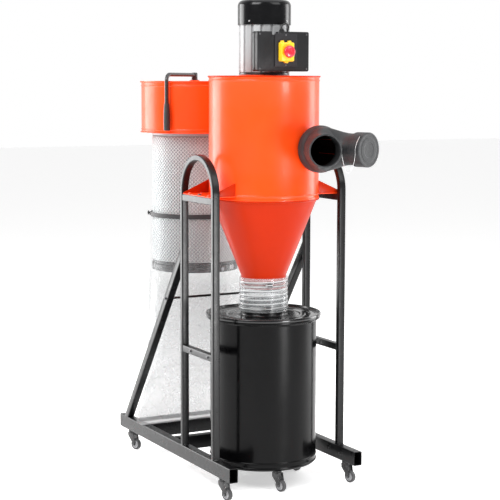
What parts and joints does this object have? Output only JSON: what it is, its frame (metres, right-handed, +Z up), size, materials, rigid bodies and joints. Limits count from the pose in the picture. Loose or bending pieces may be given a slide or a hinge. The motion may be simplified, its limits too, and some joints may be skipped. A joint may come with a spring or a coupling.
{
  "type": "portable cyclone dust collector",
  "caption": "Two-stage dust collector: motor-driven cyclone over a roll-out chip drum, with a pleated canister filter and film bag, on a wheeled tubular steel frame.",
  "frame": {"origin": "centre of the overall box on the floor, under the wheels", "axes": "+Z up, -Y towards the front (drum and inlet side), +Y towards the filter, +X to the right seen from the front"},
  "size_m": [0.64, 1.3339, 1.9825],
  "materials": {
    "orange_paint": "gloss powder coat, orange-red",
    "black_frame_paint": "satin black powder coat",
    "black_drum_paint": "semi-gloss black enamel",
    "caster_steel": "black coated pressed steel",
    "caster_tread": "dark tread on a grey hub",
    "clamp_steel": "bright plated band",
    "clear_hose": "clear hose with a wire helix",
    "inlet_plastic": "dark grey moulded plastic, fine grained",
    "tether_wire": "thin bright wire",
    "motor_alloy": "ribbed casting, silver",
    "rotor_steel": "plain steel",
    "cowl_plastic": "glossy black",
    "switch_box_plastic": "black, fine grained",
    "cable_rubber": "black sheath",
    "switch_yellow": "yellow",
    "stop_red": "red",
    "start_green": "green",
    "filter_mesh": "white pleated paper behind expanded metal mesh",
    "canister_band": "black band",
    "film_bag": "translucent film",
    "strap_web": "black webbing",
    "crank_steel": "black rod",
    "grip_plastic": "black",
    "flapper_rubber": "black"
  },
  "bodies": {
    "frame": {"bag_strap": "strap_web", "base_rail_left": "black_frame_paint", "base_rail_right": "black_frame_paint", "brace_left": "black_frame_paint", "brace_right": "black_frame_paint", "bracket_left": "orange_paint", "bracket_right": "orange_paint", "canister_filter": "filter_mesh", "canister_ring": "canister_band", "cap_tether": "tether_wire", "collection_bag": "film_bag", "control_box": "switch_box_plastic", "control_cable": "cable_rubber", "cross_member_mid": "black_frame_paint", "cross_member_rear": "black_frame_paint", "cyclone_barrel": "orange_paint", "cyclone_cone": "orange_paint", "filter_manifold": "orange_paint", "flex_hose": "clear_hose", "hose_clamp_upper": "clamp_steel", "inlet_wye": "inlet_plastic", "lower_rung_left": "black_frame_paint", "lower_rung_right": "black_frame_paint", "motor_body": "motor_alloy", "motor_cowl": "cowl_plastic", "outlet_duct": "orange_paint", "switch_body": "switch_yellow", "switch_plate": "switch_box_plastic", "tie_rod": "black_frame_paint", "top_deck": "orange_paint", "upper_rung_left": "black_frame_paint", "upper_rung_right": "black_frame_paint", "upright_left": "black_frame_paint", "upright_right": "black_frame_paint", "vortex_tube": "orange_paint"},
    "drum": {"drum_body": "black_drum_paint"},
    "lid": {"drum_lid": "black_drum_paint", "hose_clamp_lower": "clamp_steel"},
    "rotor": {"motor_rotor": "rotor_steel"},
    "crank": {"crank": "crank_steel", "flapper": "flapper_rubber"},
    "grip": {"crank_grip": "grip_plastic"},
    "cap": {"port_cap": "inlet_plastic"},
    "cover": {"switch_cover": "switch_yellow"},
    "stop_button": {"stop_knob": "stop_red"},
    "start_button_body": {"start_button": "start_green"},
    "caster_front_left_swivel": {"caster_front_left_fork": "caster_steel"},
    "caster_front_left_roll": {"caster_front_left_wheel": "caster_tread"},
    "caster_front_right_swivel": {"caster_front_right_fork": "caster_steel"},
    "caster_front_right_roll": {"caster_front_right_wheel": "caster_tread"},
    "caster_rear_left_swivel": {"caster_rear_left_fork": "caster_steel"},
    "caster_rear_left_roll": {"caster_rear_left_wheel": "caster_tread"},
    "caster_rear_right_swivel": {"caster_rear_right_fork": "caster_steel"},
    "caster_rear_right_roll": {"caster_rear_right_wheel": "caster_tread"},
    "drum_caster_front_swivel": {"drum_caster_front_fork": "caster_steel"},
    "drum_caster_front_roll": {"drum_caster_front_wheel": "caster_tread"},
    "drum_caster_right_swivel": {"drum_caster_right_fork": "caster_steel"},
    "drum_caster_right_roll": {"drum_caster_right_wheel": "caster_tread"},
    "drum_caster_left_swivel": {"drum_caster_left_fork": "caster_steel"},
    "drum_caster_left_roll": {"drum_caster_left_wheel": "caster_tread"}
  },
  "joints": [
    {"name": "drum_roll_out", "type": "slide", "parent": "frame", "child": "drum", "axis": [0, -1, 0], "range_m": [0, 0.7]},
    {"name": "lid_lift", "type": "slide", "parent": "frame", "child": "lid", "axis": [0, 0, 1], "range_m": [0, 0.05], "deforming": ["flex_hose"]},
    {"name": "rotor_spin", "type": "hinge", "parent": "frame", "child": "rotor", "pos_m": [0, -0.2284, 1.7], "axis": [0, 0, 1], "continuous": true},
    {"name": "crank_turn", "type": "hinge", "parent": "frame", "child": "crank", "pos_m": [0, 0.4236, 1.66], "axis": [0, 0, 1], "range_deg": [-240, 45]},
    {"name": "grip_spin", "type": "hinge", "parent": "crank", "child": "grip", "pos_m": [-0.21004, 0.26532, 1.5], "axis": [0, 0, 1], "continuous": true},
    {"name": "cap_pull", "type": "slide", "parent": "frame", "child": "cap", "axis": [0.3584, -0.9336, 0], "range_m": [0, 0.08]},
    {"name": "cover_lift", "type": "hinge", "parent": "frame", "child": "cover", "pos_m": [0.0045, -0.4093, 1.81], "axis": [-1, 0, 0], "range_deg": [0, 90]},
    {"name": "stop_press", "type": "slide", "parent": "cover", "child": "stop_button", "axis": [0, 1, 0], "range_m": [0, 0.004], "stiffness_N_per_m": 400},
    {"name": "start_press", "type": "slide", "parent": "frame", "child": "start_button_body", "axis": [0, 1, 0], "range_m": [0, 0.003], "stiffness_N_per_m": 200},
    {"name": "caster_front_left_swivel", "type": "hinge", "parent": "frame", "child": "caster_front_left_swivel", "pos_m": [-0.287, -0.4284, 0.08], "axis": [0, 0, 1], "continuous": true},
    {"name": "caster_front_left_roll", "type": "hinge", "parent": "caster_front_left_swivel", "child": "caster_front_left_roll", "pos_m": [-0.28094, -0.44955, 0.025], "axis": [0.9613, 0.2756, 0], "continuous": true},
    {"name": "caster_front_right_swivel", "type": "hinge", "parent": "frame", "child": "caster_front_right_swivel", "pos_m": [0.287, -0.4284, 0.08], "axis": [0, 0, 1], "continuous": true},
    {"name": "caster_front_right_roll", "type": "hinge", "parent": "caster_front_right_swivel", "child": "caster_front_right_roll", "pos_m": [0.29306, -0.44955, 0.025], "axis": [0.9613, 0.2756, 0], "continuous": true},
    {"name": "caster_rear_left_swivel", "type": "hinge", "parent": "frame", "child": "caster_rear_left_swivel", "pos_m": [-0.287, 0.4826, 0.08], "axis": [0, 0, 1], "continuous": true},
    {"name": "caster_rear_left_roll", "type": "hinge", "parent": "caster_rear_left_swivel", "child": "caster_rear_left_roll", "pos_m": [-0.27876, 0.4622, 0.025], "axis": [0.9272, 0.3746, 0], "continuous": true},
    {"name": "caster_rear_right_swivel", "type": "hinge", "parent": "frame", "child": "caster_rear_right_swivel", "pos_m": [0.287, 0.4826, 0.08], "axis": [0, 0, 1], "continuous": true},
    {"name": "caster_rear_right_roll", "type": "hinge", "parent": "caster_rear_right_swivel", "child": "caster_rear_right_roll", "pos_m": [0.29082, 0.46093, 0.025], "axis": [0.9848, 0.1736, 0], "continuous": true},
    {"name": "drum_caster_front_swivel", "type": "hinge", "parent": "drum", "child": "drum_caster_front_swivel", "pos_m": [-0.036, -0.4164, 0.08], "axis": [0, 0, 1], "continuous": true},
    {"name": "drum_caster_front_roll", "type": "hinge", "parent": "drum_caster_front_swivel", "child": "drum_caster_front_roll", "pos_m": [-0.02994, -0.43755, 0.025], "axis": [0.9613, 0.2756, 0], "continuous": true},
    {"name": "drum_caster_right_swivel", "type": "hinge", "parent": "drum", "child": "drum_caster_right_swivel", "pos_m": [0.181, -0.1654, 0.08], "axis": [0, 0, 1], "continuous": true},
    {"name": "drum_caster_right_roll", "type": "hinge", "parent": "drum_caster_right_swivel", "child": "drum_caster_right_roll", "pos_m": [0.18482, -0.18707, 0.025], "axis": [0.9848, 0.1736, 0], "continuous": true},
    {"name": "drum_caster_left_swivel", "type": "hinge", "parent": "drum", "child": "drum_caster_left_swivel", "pos_m": [-0.145, -0.1034, 0.08], "axis": [0, 0, 1], "continuous": true},
    {"name": "drum_caster_left_roll", "type": "hinge", "parent": "drum_caster_left_swivel", "child": "drum_caster_left_roll", "pos_m": [-0.13748, -0.12407, 0.025], "axis": [0.9397, 0.342, 0], "continuous": true}
  ]
}
